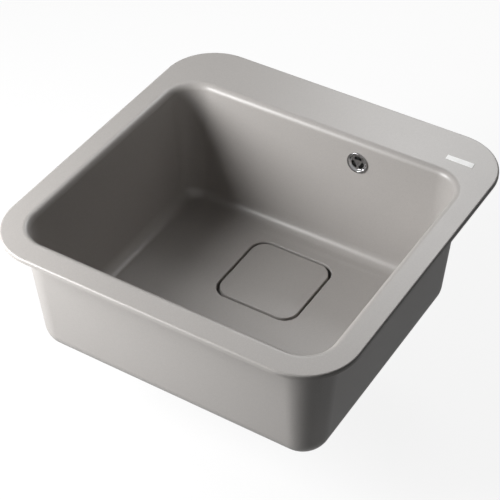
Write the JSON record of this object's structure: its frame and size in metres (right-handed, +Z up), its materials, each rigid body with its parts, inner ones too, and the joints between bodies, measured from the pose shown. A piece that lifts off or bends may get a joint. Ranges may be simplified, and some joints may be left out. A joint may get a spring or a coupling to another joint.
{
  "type": "kitchen sink",
  "caption": "Square inset kitchen sink in grey composite: deep rounded bowl, rear tap ledge, flush square waste cover over a basket strainer and plug, wall overflow piped to the waste.",
  "frame": {"origin": "centre of the worktop cut-out, in the plane of the rim's underside, on which the sink rests", "axes": "+X right as the user faces the sink, +Y to the wall behind it, +Z up out of the bowl"},
  "size_m": [0.5, 0.5, 0.302],
  "materials": {
    "composite": "satin, lightly grained mineral composite",
    "stainless": "brushed",
    "chrome": "polished",
    "black_plastic": "fine moulded",
    "white_plastic": "moulded",
    "rubber": "matte",
    "foam": "closed-cell foam",
    "brass": "turned",
    "steel_screw": "turned"
  },
  "bodies": {
    "sink": {"sink_body": "composite", "rim_seal": "foam", "strainer_flange": "stainless", "flange_gasket": "foam", "body_gasket": "rubber", "clamp_screw": "steel_screw", "brass_insert": "brass", "waste_body": "white_plastic", "overflow_rose": "chrome", "overflow_gasket": "rubber", "overflow_head": "white_plastic", "overflow_hose": "white_plastic", "hose_nuts": "white_plastic", "hose_seals": "rubber"},
    "cover": {"waste_cover": "composite", "cover_feet": "rubber"},
    "basket": {"basket_cup": "stainless", "stem_bush": "black_plastic"},
    "plug": {"plug_stem": "steel_screw", "plug_seal": "rubber", "plug_knob": "black_plastic"}
  },
  "joints": [
    {"name": "cover_lift", "type": "slide", "parent": "sink", "child": "cover", "axis": [0, 0, 1], "range_m": [0, 0.32]},
    {"name": "basket_lift", "type": "slide", "parent": "sink", "child": "basket", "axis": [0, 0, 1], "range_m": [0, 0.272]},
    {"name": "plug_close", "type": "slide", "parent": "basket", "child": "plug", "axis": [0, 0, 1], "range_m": [-0.008, 0]}
  ],
  "couplings": [
    {"joint": "basket_lift", "follows": "cover_lift", "ratio": 0.85}
  ]
}
